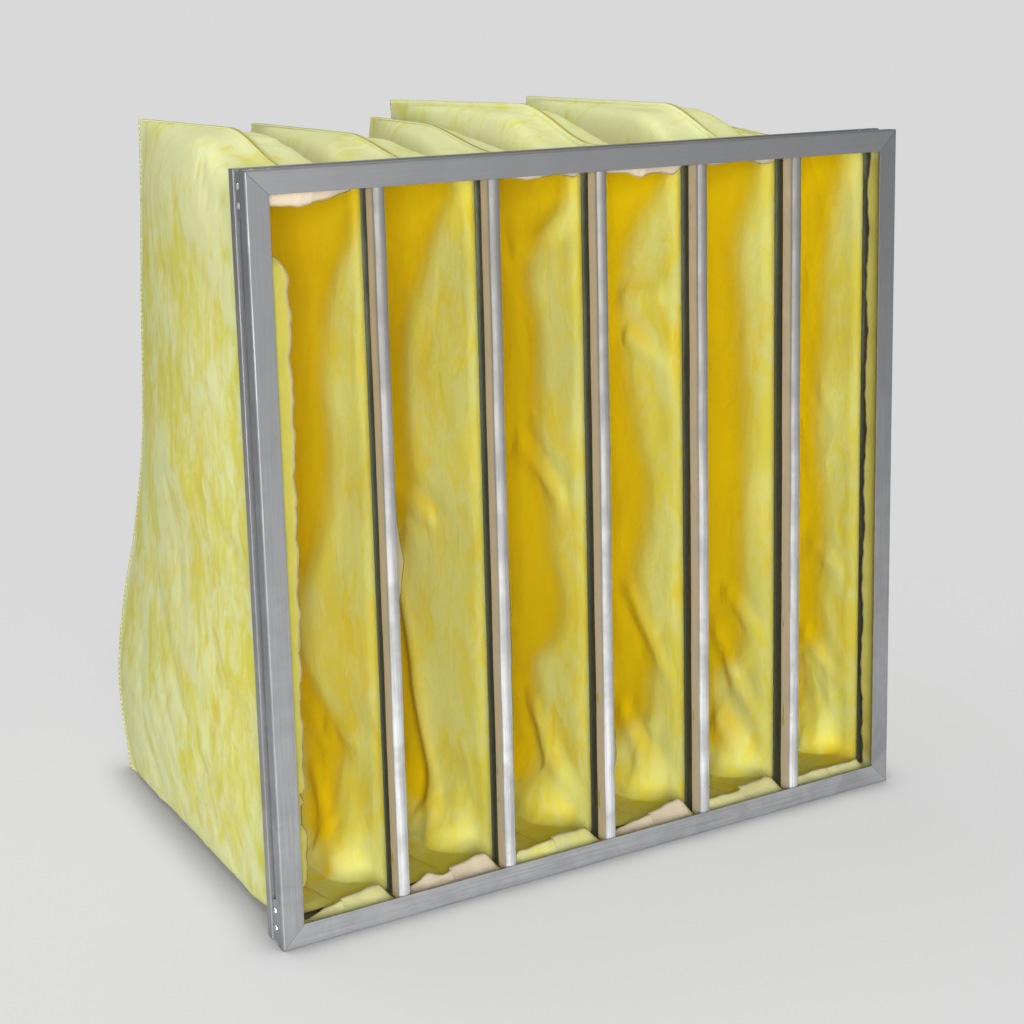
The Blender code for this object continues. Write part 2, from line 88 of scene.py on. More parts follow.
# The raw edge of the folded media, inside the mouth: how deep it reaches where the wall is pulled tight, how
# much more it does at the top and foot of such a wall, how deep it reaches elsewhere, and how much less it
# does at the top and foot of every wall
TIGHT_FLAP = 8.5
TIGHT_FLAP_ENDS = 12.0
LOOSE_FLAP = 15.5
FLAP_ENDS_LESS = 3.5
FLAP_COLUMNS = 9
HEM_RADIUS = 1.6  # of the fold round the ring's front edge

# The foot of the right wall is pressed in by two soft dents: (depth of push, height of its reach)
FOOT_DENT = (15.0, 34.0)
FRONT_FOOT_DENT = (8.0, 46.0)
CREASE_RISE = 2.8  # push on a crease line
CREASE_DROP = 1.6  # how far the wall swells out again beside it

# The small creases all over the walls: the greatest and least distance between them, the number of their
# directions, and how far they are pressed in on the outermost walls and on the others
CRUMPLE_LONGEST = 130.0
CRUMPLE_SHORTEST = 24.0
CRUMPLE_WAVES = 12
OUTER_CRUMPLE = 5.5
INNER_CRUMPLE = 2.1

# What differs between the pockets. The values on the first line of each are the part's, and seam says how
# sharply the seam stands up along the top.
# The gold line, as (height, depth) from the foot up, is where the right wall turns deep golden behind it:
# painted shade of the wall's far side beyond its crest, lit only by light bounced in the pocket.
# hang, stand, lean and turn say how far the raw edge of the folded media hangs from the top, stands up at
# the foot, and leans in at the left and at the right: the first two against the place across the mouth, from
# -1 to 1, and the others against the height.
# pale says how much of its whitish backing each raw edge shows, at the top, at the foot and at the sides.
# creases are lines of (depth, height) along which the right wall is folded.
POCKET_FORMS = (
    dict(
        rise=27.5, begins=55.0, ends=172.0, lean_top=-7.0, lean_foot=-46.0, longer=0.0, phase=0.1, seam=0.45,
        gold_and_painted_shade=(
            (20, 84), (44, 97), (88, 103), (116, 92), (134, 123), (160, 148), (220, 160), (282, 119),
            (344, 105), (435, 100), (471, 92), (502, 74), (529, 50), (558, 30),
        ),
        hang=((-1, 16), (-0.3, 17), (0.2, 15), (0.7, 9), (1, 6)),
        stand=((-1, 1), (-0.55, 2), (-0.3, 5), (0, 8), (0.5, 11), (0.9, 10), (1, 8)),
        lean=((20, 16), (150, 17), (300, 20), (450, 22), (500, 22), (522, 19), (540, 3), (580, 2)),
        turn=((20, 1), (300, 0), (580, 1)),
        pale=(1.0, 0.25, 0.1),
        creases=(((122, 118), (86, 124), (40, 127)), ((150, 70), (112, 30), (70, 12))),
    ),
    dict(
        rise=18.5, begins=36.0, ends=165.0, lean_top=5.0, lean_foot=-12.0, longer=4.0, phase=0.45, seam=0.5,
        gold_and_painted_shade=(
            (17, 100), (41, 118), (84, 137), (139, 151), (208, 172), (270, 161), (296, 144), (342, 142),
            (393, 150), (439, 146), (470, 129), (501, 112), (529, 90), (558, 58),
        ),
        hang=((-1, 6), (-0.2, 5), (0.4, 6), (1, 4)),
        stand=((-1, 4), (-0.65, 6), (-0.42, 11), (-0.25, 8), (0.15, 10), (0.55, 13), (1, 12)),
        lean=((20, 9), (250, 9), (290, 14), (320, 9), (580, 8)),
        turn=((20, 1), (300, 0), (580, 1)),
        pale=(0.3, 1.0, 0.5),
        creases=(
            ((176, 232), (159, 173), (145, 123), (133, 72), (120, 36), (96, 14)), ((190, 300), (120, 286)),
        ),
    ),
    dict(
        rise=18.5, begins=85.0, ends=245.0, lean_top=30.0, lean_foot=-4.0, longer=4.0, phase=0.7, seam=0.5,
        gold_and_painted_shade=(
            (15, 110), (60, 106), (110, 111), (140, 115), (174, 76), (208, 67), (243, 78), (293, 85),
            (343, 100), (394, 104), (435, 100), (496, 105), (528, 72), (559, 44),
        ),
        hang=((-1, 9), (-0.5, 8), (0, 10), (0.5, 9), (0.85, 13), (1, 12)),
        stand=((-1, 6), (-0.5, 9), (0, 11), (0.5, 12), (1, 10)),
        lean=((20, 8), (200, 11), (330, 9), (580, 9)),
        turn=((20, 1), (300, 0), (580, 0)),
        pale=(0.9, 0.15, 0.5),
        creases=(
            ((30, 537), (78, 522), (130, 504)), ((120, 100), (90, 60), (60, 46)), ((130, 330), (70, 300)),
        ),
    ),
    dict(
        rise=31.5, begins=86.0, ends=190.0, lean_top=-44.0, lean_foot=6.0, longer=6.0, phase=0.2, seam=1.0,
        gold_and_painted_shade=(
            (13, 132), (48, 125), (81, 84), (111, 80), (142, 68), (171, 86), (206, 95), (242, 86),
            (293, 76), (343, 95), (395, 101), (497, 101), (528, 79), (559, 46),
        ),
        hang=((-1, 10), (-0.4, 11), (0, 14), (0.35, 12), (0.7, 15), (1, 9)),
        stand=((-1, 3), (-0.3, 7), (0.3, 11), (0.8, 15), (1, 14)),
        lean=((20, 9), (120, 12), (180, 8), (330, 11), (400, 8), (580, 8)),
        turn=((20, 1), (300, 0), (580, 1)),
        pale=(1.0, 1.0, 0.5),
        creases=(
            ((110, 190), (80, 150), (40, 120)), ((125, 70), (85, 40), (45, 34)), ((100, 420), (45, 400)),
            ((105, 455), (60, 462)),
        ),
    ),
    dict(
        rise=30.0, begins=27.0, ends=130.0, lean_top=8.0, lean_foot=10.0, longer=2.0, phase=0.9, seam=0.8,
        gold_and_painted_shade=(
            (15, 78), (39, 92), (63, 114), (89, 112), (113, 82), (171, 74), (242, 71), (294, 67), (344, 69),
            (436, 75), (498, 77), (529, 64), (560, 49),
        ),
        hang=((-1, 8), (-0.4, 9), (0.2, 8), (0.7, 12), (1, 13)),
        stand=((-1, 9), (-0.5, 9), (0, 9), (0.5, 12), (0.9, 14), (1, 12)),
        lean=((20, 8), (140, 12), (300, 8), (450, 10), (580, 8)),
        turn=((20, 1), (300, 0), (580, 0)),
        pale=(1.0, 0.3, 0.5),
        creases=(((115, 130), (85, 92), (45, 66)), ((100, 50), (60, 30)), ((95, 170), (50, 150))),
    ),
    dict(
        rise=18.0, begins=100.0, ends=290.0, lean_top=6.0, lean_foot=24.0, longer=5.0, phase=0.6, seam=0.5,
        gold_and_painted_shade=(
            (13, 96), (48, 106), (89, 108), (115, 82), (151, 83), (242, 83), (293, 91), (344, 89),
            (395, 84), (436, 82), (498, 75), (529, 68), (560, 53),
        ),
        hang=((-1, 7), (0, 6), (1, 7)),
        stand=((-1, 7), (0, 8), (1, 8)),
        lean=((20, 8), (300, 9), (580, 8)),
        turn=((20, 2), (130, 3), (300, 2), (580, 2)),
        pale=(0.7, 0.3, 0.15),
        creases=(((105, 110), (70, 86), (40, 78)), ((100, 200), (60, 190))),
    ),
)

# How finely the panels are divided. The walls that the photograph shows are finer than the others.
TOP_ROWS = 19
CORNER_ROWS = 4
SIDE_ROWS = 118
LEAST_ROWS = 72
FRONT_COLUMNS = 52
REAR_COLUMNS = 46
LEAST_COLUMNS = 52
FOLDED_COLUMNS = 14  # the raw edge and the fold, counted from the raw edge
FRONT_SHARE = 0.36  # of the depth, where the columns are closer set
SECTION_STEPS = 1600

# Sewing thread: the length of a stitch, the distance from one to the next, and its form from end to end, as
# (how far its middle stands above the media, its radius)
STITCH_LONG = 3.4
STITCH_STEP = 5.0
STITCH_FORM = ((-0.25, 0.2), (0.12, 0.33), (0.12, 0.33), (-0.25, 0.2))
STITCH_SIDES = 6
STITCH_COLUMNS = FOLDED_COLUMNS + 12  # the column behind which the seam is sewn

# Divider clips
CLIP_SHEET = 0.8
CLIP_CROWN = 1.1  # how far the edges of the clip's front lie behind its middle
CLIP_ROUND = 1.4
CLIP_STEPS = 90
CLIP_WAVES = (62, 29, 17)  # how far along the clip each of its slight waves takes to turn by one radian
CLIP_WAVE_HIGH = 0.12
CLIP_END = 40  # length over which the waves fade at each end

# Camera, worked out from the corners of the header in the photograph
CAMERA_AT = (-747.99, -1195.73, 688.87)  # from the middle of the header's front face at its foot
CAMERA_YAW = 0.50598
CAMERA_PITCH = -0.18538
CAMERA_ROLL = -0.02434
LENS = 63.464
SENSOR = 36.0
SHIFT_UP = -0.1465  # the photograph is cut from the lower part of its picture

# Lamps: name, place and width in metres, and power in watts. They point at the filter's middle.
LAMPS = (
    ("key", (-1.05, -2.65, 0.7), 1.2, 122.0),
    ("side", (-2.7, -0.4, 0.4), 2.0, 9.0),
    ("top", (-0.3, 0.8, 2.6), 1.8, 40.0),
)
LAMPS_AIM = (0.0, 0.0, 0.3)
WORLD_LEFT = 0.46  # strength of the light from all round, at the left
WORLD_RIGHT = 0.24
FLOOR_HALF = 9.0  # metres


def linear(red, green, blue):
    """A colour given from 0 to 255, as seen on screen, as the linear values that a shader takes."""
    values = np.array((red, green, blue)) / 255
    return (*np.where(values <= 0.04045, values / 12.92, ((values + 0.055) / 1.055) ** 2.4), 1.0)


BACKDROP = linear(217, 217, 217)


def add_object(name, data):
    """A new object of that mesh, lamp or camera, in the scene."""
    made = bpy.data.objects.new(name, data)
    bpy.context.scene.collection.objects.link(made)
    return made


def run_along(steps):
    """How far along a line each of its points lies, from the distances between them."""
    return np.concatenate(([0.0], np.cumsum(steps)))


def in_place(points, number):
    """A pocket's points, measured from its middle and the header's face, as places in the scene."""
    middle = (number - (POCKETS + 1) / 2) * PITCH
    return (points + np.array((middle, FRONT_Y, 0.0))) * MM


class Nodes:
    """A short way to write a material's nodes. Every place in them is a place on the object, in metres."""

    def __init__(self, name):
        self.material = bpy.data.materials.new(name)
        self.material.use_nodes = True
        self.tree = self.material.node_tree
        self.tree.nodes.clear()
        self.where = self.add("ShaderNodeTexCoord").outputs["Object"]

    def add(self, kind, inputs=None, **settings):
        made = self.tree.nodes.new(kind)
        for key, value in settings.items():
            setattr(made, key, value)
        for key, value in (inputs or {}).items():
            if isinstance(value, bpy.types.NodeSocket):
                self.tree.links.new(value, made.inputs[key])
            else:
                made.inputs[key].default_value = value
        return made

    def scaled(self, x, y, z):
        return self.add("ShaderNodeMapping", {"Vector": self.where, "Scale": (x, y, z)}).outputs["Vector"]

    def noise(self, scale, detail=3.0, rough=0.55, warp=0.0, vector=None):
        inputs = {"Vector": vector or self.where, "Scale": scale, "Detail": detail, "Roughness": rough}
        return self.add("ShaderNodeTexNoise", inputs | {"Distortion": warp}).outputs["Fac"]

    def attribute(self, name):
        return self.add("ShaderNodeAttribute", attribute_name=name).outputs["Fac"]

    def math(self, operation, a, b=0.0, clamp=False):
        return self.add("ShaderNodeMath", {0: a, 1: b}, operation=operation, use_clamp=clamp).outputs[0]

    def ramp(self, value, low, high, to_low=0.0, to_high=1.0):
        inputs = {"Value": value, "From Min": low, "From Max": high, "To Min": to_low, "To Max": to_high}
        return self.add("ShaderNodeMapRange", inputs, interpolation_type="SMOOTHSTEP").outputs["Result"]

    def mix(self, share, a, b, blend="MIX"):
        made = self.add("ShaderNodeMix", data_type="RGBA", blend_type=blend)
        for index, value in ((0, share), (6, a), (7, b)):
            if isinstance(value, bpy.types.NodeSocket):
                self.tree.links.new(value, made.inputs[index])
            else:
                made.inputs[index].default_value = value
        return made.outputs[2]

    def bump(self, height, strength, distance, normal=None):
        inputs = {"Height": height, "Strength": strength, "Distance": distance * MM}
        if normal:
            inputs["Normal"] = normal
        return self.add("ShaderNodeBump", inputs).outputs["Normal"]

    def finish(self, shader):
        output = self.add("ShaderNodeOutputMaterial")
        self.tree.links.new(shader, output.inputs["Surface"])
        return self.material


def fleece(name, body, patches, tint, deep, raw_colour, through_share, painted_ends_light):
    """Fibre media: a soft matt fleece with pale patches and warm tints, paler towards the top and the foot
    by painted light where asked, deep golden by painted shade where its golden-shade attribute says so, and
    the colour of its backing where the attribute raw does."""
    n = Nodes(name)
    large = n.noise(13.0, 3.0, 0.55, 0.8, n.scaled(1.0, 1.0, 0.8))
    warm = n.noise(15.0, 3.0, 0.55, 0.8, n.scaled(1.0, 1.3, 0.7))
    small = n.noise(44.0, 4.0, 0.62, 0.9, n.scaled(1.0, 1.3, 0.75))
    fibres = n.noise(1300.0, 2.0, 0.7, 2.0)
    cloud = n.math("ADD", n.math("MULTIPLY", large, 0.5), n.math("MULTIPLY", small, 0.5))
    colour = n.mix(n.ramp(warm, 0.45, 0.66, 0.0, 0.65), body, tint)
    level = n.add("ShaderNodeSeparateXYZ", {"Vector": n.where}).outputs["Z"]
    # Painted light: the media is paler towards the top, lit from above, and towards the foot, lit from the
    # floor.
    pale_top = n.ramp(level, 0.50, 0.60, 0.0, painted_ends_light)
    pale_foot = n.ramp(level, 0.28, 0.06, 0.0, painted_ends_light * 0.45)
    ends = n.math("ADD", pale_top, pale_foot)
    colour = n.mix(n.ramp(n.math("ADD", cloud, ends), 0.37, 0.63), colour, patches)
    # Painted shade: behind the golden shade line the media takes the deep colour, with an uneven edge.
    uneven = n.math("MULTIPLY", n.math("SUBTRACT", cloud, 0.5), 1.3)
    edge = n.math("ADD", n.attribute("gold_and_painted_shade"), uneven)
    colour = n.mix(n.ramp(edge, 0.05, 0.95), colour, deep)
    colour = n.mix(n.attribute("raw"), colour, raw_colour)
    dimmed = n.mix(1.0, colour, linear(226, 226, 226), "MULTIPLY")
    colour = n.mix(n.ramp(fibres, 0.3, 0.7, 0.0, 0.16), colour, dimmed)
    normal = n.bump(small, 0.22, 4.0)
    normal = n.bump(fibres, 0.35, 0.6, normal)
    cloth = n.add("ShaderNodeBsdfPrincipled", {"Base Color": colour, "Normal": normal})
    cloth.inputs["Roughness"].default_value = 0.92
    cloth.inputs["Specular IOR Level"].default_value = 0.05
    cloth.inputs["Sheen Weight"].default_value = 0.03
    cloth.inputs["Sheen Roughness"].default_value = 0.6
    through = n.add("ShaderNodeBsdfTranslucent", {"Color": colour, "Normal": normal})
    both = n.add("ShaderNodeMixShader", {0: through_share, 1: cloth.outputs[0], 2: through.outputs[0]})
    return n.finish(both.outputs[0])


def sheet_metal(name, colour, dull, grain, rough, metallic, painted_foot_light=0.0, painted_reflection_colour=None):
    """Drawn or rolled metal: fine lines along the grain, faint clouding, and dull specks, and painted light
    that makes it paler towards the foot. Where a side colour is given, a painted reflection of the golden
    media, the attribute side says where the metal takes it and is less bright."""
    n = Nodes(name)
    lines = n.noise(700.0, 3.0, 0.6, 0.0, n.scaled(*grain))
    cloud = n.noise(22.0, 4.0, 0.6, 0.4)
    specks = n.noise(420.0, 2.0, 0.5)
    height = n.add("ShaderNodeSeparateXYZ", {"Vector": n.where}).outputs["Z"]
    # Painted light: paler towards the foot, standing in for the bright floor that the metal reflects.
    lit = n.ramp(height, 0.55, 0.0, 0.0, painted_foot_light)
    base = n.mix(lit, colour, linear(236, 238, 241))
    base = n.mix(n.ramp(cloud, 0.35, 0.65, 0.0, 0.4), base, dull)
    base = n.mix(n.ramp(lines, 0.35, 0.7, 0.0, 0.35), base, dull)
    base = n.mix(n.ramp(specks, 0.70, 0.80, 0.0, 0.3), base, linear(96, 96, 98))
    shine = metallic
    # Painted reflection: the clip's sides take the tan of the golden media beside them.
    if painted_reflection_colour:
        side = n.attribute("side")
        base = n.mix(n.math("MULTIPLY", side, n.ramp(cloud, 0.3, 0.7, 0.98, 0.8)), base, painted_reflection_colour)
        shine = n.ramp(side, 0.0, 1.0, metallic, 0.2)
    roughness = n.ramp(cloud, 0.3, 0.7, rough - 0.06, rough + 0.08)
    normal = n.bump(lines, 0.14, 0.25)
    normal = n.bump(cloud, 0.08, 2.0, normal)
    inputs = {"Base Color": base, "Roughness": roughness, "Normal": normal, "Metallic": shine}
    metal = n.add("ShaderNodeBsdfPrincipled", inputs)
    return n.finish(metal.outputs[0])


def thread_fibre():
    """Sewing thread: twisted pale fibres."""
    n = Nodes("thread")
    twist = n.noise(2600.0, 2.0, 0.6, 1.0, n.scaled(1.0, 1.0, 0.5))
    colour = n.mix(n.ramp(twist, 0.3, 0.7), linear(232, 230, 190), linear(204, 200, 142))
    thread = n.add("ShaderNodeBsdfPrincipled", {"Base Color": colour, "Normal": n.bump(twist, 0.4, 0.2)})
    thread.inputs["Roughness"].default_value = 0.7
    return n.finish(thread.outputs[0])


def make_materials():
    along_x, along_z = (0.02, 1.0, 1.0), (1.0, 1.0, 0.02)
    dull = linear(105, 106, 107)
    backing = linear(206, 192, 169)
    return {
        # Painted light: each metal with a foot value is paler towards the foot.
        "rail_x": sheet_metal(
            "header_metal_across", linear(125, 126, 127), linear(112, 113, 114), along_x,
            rough=0.48, metallic=0.7, painted_foot_light=0.28,
        ),
        "rail_z": sheet_metal(
            "header_metal_upright", linear(117, 118, 119), dull, along_z,
            rough=0.48, metallic=0.7, painted_foot_light=0.22,
        ),
        "bracket": sheet_metal(
            "bracket_metal", linear(126, 128, 131), dull, along_z, rough=0.42, metallic=0.7, painted_foot_light=0.3
        ),
        "rivet": sheet_metal(
            "rivet_metal", linear(214, 215, 218), linear(176, 178, 182), along_z, rough=0.24, metallic=0.9
        ),
        # The clip's tan sides are a painted reflection of the golden media.
        "clip": sheet_metal(
            "clip_metal", linear(116, 115, 112), linear(98, 97, 94), along_z,
            rough=0.58, metallic=0.4, painted_foot_light=0.5, painted_reflection_colour=linear(184, 168, 139),
        ),
        "strip": sheet_metal(
            "galvanised_strip", linear(100, 106, 98), linear(76, 81, 74), along_z, rough=0.4, metallic=0.8
        ),
        "outside": fleece(
            "media_outside", body=linear(214, 213, 94), patches=linear(222, 229, 174),
            tint=linear(216, 205, 82), deep=linear(174, 168, 52), raw_colour=backing,
            through_share=0.28, painted_ends_light=0.09,
        ),
        # The inside's deep colour is the golden painted shade.
        "inside": fleece(
            "media_inside", body=linear(248, 238, 100), patches=linear(244, 242, 160),
            tint=linear(252, 228, 56), deep=linear(255, 224, 0), raw_colour=backing,
            through_share=0.5, painted_ends_light=0.0,
        ),
        "thread": thread_fibre(),
    }


def ease(value):
    """A soft step from 0 to 1, as the value goes from 0 to 1."""
    value = np.clip(value, 0.0, 1.0)
    return value * value * (3 - 2 * value)


def curve_through(points, at):
    """A smooth curve through (position, value) points, read at an array of positions."""
    places, values = np.array(points, float).T
    slopes = np.gradient(values, places)
    index = np.clip(np.searchsorted(places, at) - 1, 0, len(places) - 2)
    width = places[index + 1] - places[index]
    t = np.clip((at - places[index]) / width, 0.0, 1.0)
    return (
        (2 * t**3 - 3 * t**2 + 1) * values[index]
        + (t**3 - 2 * t**2 + t) * width * slopes[index]
        + (3 * t**2 - 2 * t**3) * values[index + 1]
        + (t**3 - t**2) * width * slopes[index + 1]
    )


def crumple(depth, height, seed):
    """Soft creases: narrow ridges along lines of many directions, each fading in and out. About -1 to 1."""
    draw = np.random.default_rng(seed)
    total = np.zeros_like(depth)
    weight = 0.0
    for wave in range(CRUMPLE_WAVES):
        length = CRUMPLE_LONGEST * (CRUMPLE_SHORTEST / CRUMPLE_LONGEST) ** (wave / (CRUMPLE_WAVES - 1))
        angle = draw.uniform(0, math.pi)
        along = depth * math.cos(angle) + height * math.sin(angle)
        across = -depth * math.sin(angle) + height * math.cos(angle)
        bend = 0.9 * np.sin(across / length * 1.7 + draw.uniform(0, math.tau))
        ridge = (1 - np.abs(np.sin(math.pi * along / length + bend + draw.uniform(0, math.tau)))) ** 2.2
        patch = np.sin(across / length * 1.1 + draw.uniform(0, math.tau))
        patch = ease(0.5 + 0.9 * patch * np.sin(along / length * 0.8 + draw.uniform(0, math.tau)))
        strength = length**0.8
        total += strength * (ridge * patch - 0.18)
        weight += strength * 0.45
    return total / weight


def wavering(place, seed):
    """A small ragged wave, from about -1.5 to 1.5, along an edge whose places are in millimetres."""
    draw = np.random.default_rng(seed)
    total = np.zeros_like(place)
    for length, strength in ((14.0, 0.6), (7.0, 0.45), (3.6, 0.35), (2.0, 0.25)):
        total += strength * np.sin(place / length + draw.uniform(0, math.tau))
    return total


def bump_at(distance, width):
    """A soft rise to 1 where the distance is 0."""
    return np.exp(-((distance / width) ** 2))


def mouth_rows(inset, rows):
    """Half of the mouth's outline at that inset, from the upper seam round the side to the lower seam, as
    distances from the pocket's middle plane and heights from the mouth's middle."""
    wide = MOUTH_HALF_WIDE - inset
    high = MOUTH_HALF_HIGH - inset
    corner = MOUTH_RADIUS - min(inset, FOLD_DEEP)
    edge = wide - corner
    across = [0.15, 0.6, *np.linspace(SEAM_HALF, edge, TOP_ROWS)]
    upper = [(x, high) for x in across]
    for angle in np.linspace(90.0, 0.0, CORNER_ROWS + 1)[1:]:
        turn = math.radians(angle)
        upper.append((edge + corner * math.cos(turn), high - corner + corner * math.sin(turn)))
    last = upper[-1][1]
    side = [(wide, z) for z in np.linspace(last, -last, rows + 2)[1:-1]]
    points = upper + side + [(x, -z) for x, z in reversed(upper)]
    return np.array(points).T


def body_rows(share, fractions):
    """The pocket's cross-section at that share of its depth: width and height shares, and its half-width."""
    height = np.cos(np.linspace(0.0, math.pi, SECTION_STEPS))
    power = np.where(height > 0, TOP_SQUARE, FOOT_SQUARE) + MOUTH_SQUARE * math.exp(-share / 0.25)
    wide = (1 - np.abs(height) ** power) ** (1 / power)
    half = MOUTH_HALF_WIDE * (1 - share**FULLNESS) ** TAPER if share < 1 else 0.0
    run = run_along(np.hypot(np.diff(wide * half), np.diff(height * MOUTH_HALF_HIGH)))
    places = fractions * run[-1]
    return np.interp(places, run, wide), np.interp(places, run, height), half


def fold_depth(form, side, depth, level, outermost):
    """How far the panel is pressed in at that place, as in the part."""
    swell = math.sin(math.pi * depth) ** 0.8 if 0 < depth < 1 else 0.0
    turn = form["phase"] + 0.13 * side
    wave = np.sin(math.tau * (2.6 * level + turn + 0.5 * depth))
    wave = wave + 0.5 * np.sin(math.tau * (5.1 * level - turn))
    pressed = FOLD_AMPLITUDE * (0.75 + 0.5 * wave) * swell
    return pressed - OUTER_BULGE * swell if outermost else pressed


def body_column(form, side, depth, fractions, outermost, seam=0.0):
    """One column of a panel's outer skin behind the mouth: x from the pocket's middle, depth, height."""
    wide, high, half = body_rows(depth, fractions)
    level = (high + 1) / 2
    back = curve_through(BACK_SEAM, level) + form["longer"]
    y = MOUTH_REAR + depth * (back - MOUTH_REAR) + seam * SEAM_HIGH
    top = HALF_HEADER + MOUTH_HALF_HIGH
    top = top + form["rise"] * ease((y - form["begins"]) / (form["ends"] - form["begins"]))
    bottom = MOUTH_FLOOR + (FOOT_BASE - MOUTH_FLOOR) * ease(depth / SETTLED)
    z = bottom + (top - bottom) * level
    across = (half - fold_depth(form, side, depth, level, outermost)) * wide
    flange = ease(depth / 0.06)
    least = THIN_HALF + (SEAM_HALF - THIN_HALF) * flange
    across = np.maximum(across, least)
    across[:2] = least
    across[-2:] = least
    z[0] += SEAM_HIGH * flange * form["seam"]
    slope = np.linspace(1.0, 0.0, 9)[1:]
    z[1:9] += (1.0 - form["seam"]) * 2.5 * flange * slope
    z[-1] -= SEAM_FOOT * flange
    sway = depth**1.5 * (form["lean_top"] * level**2 + form["lean_foot"] * (1 - level) ** 2)
    return np.stack((side * across + sway, y, z), axis=-1)


def folded_edge(number, form, side, rows):
    """The raw edge of the folded media and the J-shaped fold round the ring's front edge, as columns, and
    how much of its backing each point shows."""
    across, height = mouth_rows(FOLD_DEEP, rows)
    place = side * across / MOUTH_HALF_WIDE
    clear = ease((MOUTH_HALF_WIDE - across - 3.4) / 12)
    upper = ease((height - (MOUTH_HALF_HIGH - 14)) / 9) * clear
    lower = ease((-height - (MOUTH_HALF_HIGH - 14)) / 9) * clear
    ends = upper + lower
    flank = ease((MOUTH_HALF_HIGH - 16 - np.abs(height)) / 22)
    hang = curve_through(form["hang"], place) + 0.9 * wavering(place * 48, 11 * number)
    stand = curve_through(form["stand"], place) + 0.8 * wavering(place * 48, 11 * number + 5)
    inward = curve_through(form["lean" if side < 0 else "turn"], height + HALF_HEADER)
    inward = inward + 0.9 * wavering(height, 11 * number + side)

    # Between two pockets the right wall is pulled tight at the side, and only its ends show their raw edge
    tight = side > 0 and number < POCKETS
    length = (TIGHT_FLAP + TIGHT_FLAP_ENDS * ends if tight else LOOSE_FLAP) - FLAP_ENDS_LESS * ends
    length = length + (0.3 if tight else 1.0) * wavering(height + 60 * place, 7 * number)
    shown = ends if tight else 1.0
    pale_top, pale_foot, pale_side = form["pale"]
    pale = upper * pale_top + lower * pale_foot + (1 - upper - lower) * pale_side

    columns, raw = [], []
    for step in np.linspace(1.0, 0.0, FLAP_COLUMNS):
        reach = step**1.25
        y = MOUTH_FRONT + HEM_RADIUS + length * step - 0.35 * inward * flank * reach * (inward > 16)
        x = across - inward * flank * reach
        z = height - hang * upper * reach + stand * lower * reach
        columns.append(np.stack((side * x, y, HALF_HEADER + z), axis=-1))
        raw.append((pale + (1 - pale) * 0.7 * ease((step - 0.85) / 0.15)) * (0.15 + 0.85 * shown))
    for angle in np.linspace(0.0, math.pi, 7)[1:-1]:
        across, height = mouth_rows(FOLD_DEEP / 2 * (1 + math.cos(angle)), rows)
        y = np.full_like(across, MOUTH_FRONT + HEM_RADIUS * (1 - math.sin(angle)))
        columns.append(np.stack((side * across, y, HALF_HEADER + height), axis=-1))
        raw.append(0.6 * pale)
    return columns, raw


def panel_grid(number, form, side):
    """The panel's outer skin as a grid of points, columns from the raw edge back to the seam. With each
    column go its share of the depth and its thickness, and with each point how much of its backing it
    shows."""
    outermost = (number == 1 and side < 0) or (number == POCKETS and side > 0)
    fine = side > 0 or outermost
    rows = SIDE_ROWS if fine else LEAST_ROWS
    columns, raw = folded_edge(number, form, side, rows)

    # The outside of the mouth
    across, height = mouth_rows(0.0, rows)
    for y in np.linspace(MOUTH_FRONT + HEM_RADIUS, MOUTH_REAR, 7):
        columns.append(np.stack((side * across, np.full_like(across, y), HALF_HEADER + height), axis=-1))
    info = [(0.0, CLAMPED_THICK)] * len(columns)

    # The body behind the mouth, closer set where the mouth shows it
    runs = np.hypot(np.diff(across), np.diff(height))
    fractions = run_along(runs) / runs.sum()
    front, rear = (FRONT_COLUMNS, REAR_COLUMNS) if fine else (LEAST_COLUMNS // 2, LEAST_COLUMNS // 2)
    shares = np.concatenate((
        np.linspace(0.0, FRONT_SHARE, front + 1)[1:],
        np.linspace(FRONT_SHARE, 1.0, rear + 1)[1:],
    ))
    base = columns[-1]
    for depth in shares:
        column = body_column(form, side, depth, fractions, outermost)
        blend = ease(depth / 0.05)
        start = base.copy()
        start[:, 1] = column[:, 1]
        columns.append(start * (1 - blend) + column * blend)
        info.append((depth, CLAMPED_THICK + (MEDIA_THICK - CLAMPED_THICK) * ease(depth / 0.04)))
    for seam in (0.5, 1.0):
        columns.append(body_column(form, side, 1.0, fractions, outermost, seam))
        info.append((1.0 + 0.01 * seam, MEDIA_THICK))
    raw += [np.zeros_like(across)] * (len(columns) - len(raw))
    return np.array(columns), np.array(info), np.array(raw), outermost


def fold_line(points, depth, height):
    """Distance of each place from a line of (depth, height) points, positive behind the line."""
    nearest = np.full(depth.shape, 1e9)
    behind = np.ones(depth.shape)
    for (d1, h1), (d2, h2) in zip(points[:-1], points[1:]):
        run_d, run_h = d2 - d1, h2 - h1
        t = np.clip(((depth - d1) * run_d + (height - h1) * run_h) / (run_d**2 + run_h**2), 0.0, 1.0)
        off_d, off_h = depth - d1 - t * run_d, height - h1 - t * run_h
        distance = np.hypot(off_d, off_h)
        behind = np.where(distance < nearest, np.sign(off_d - off_h * run_d / (abs(run_h) + 1e-6)), behind)
        nearest = np.minimum(nearest, distance)
    return nearest * np.where(behind == 0, 1.0, behind)


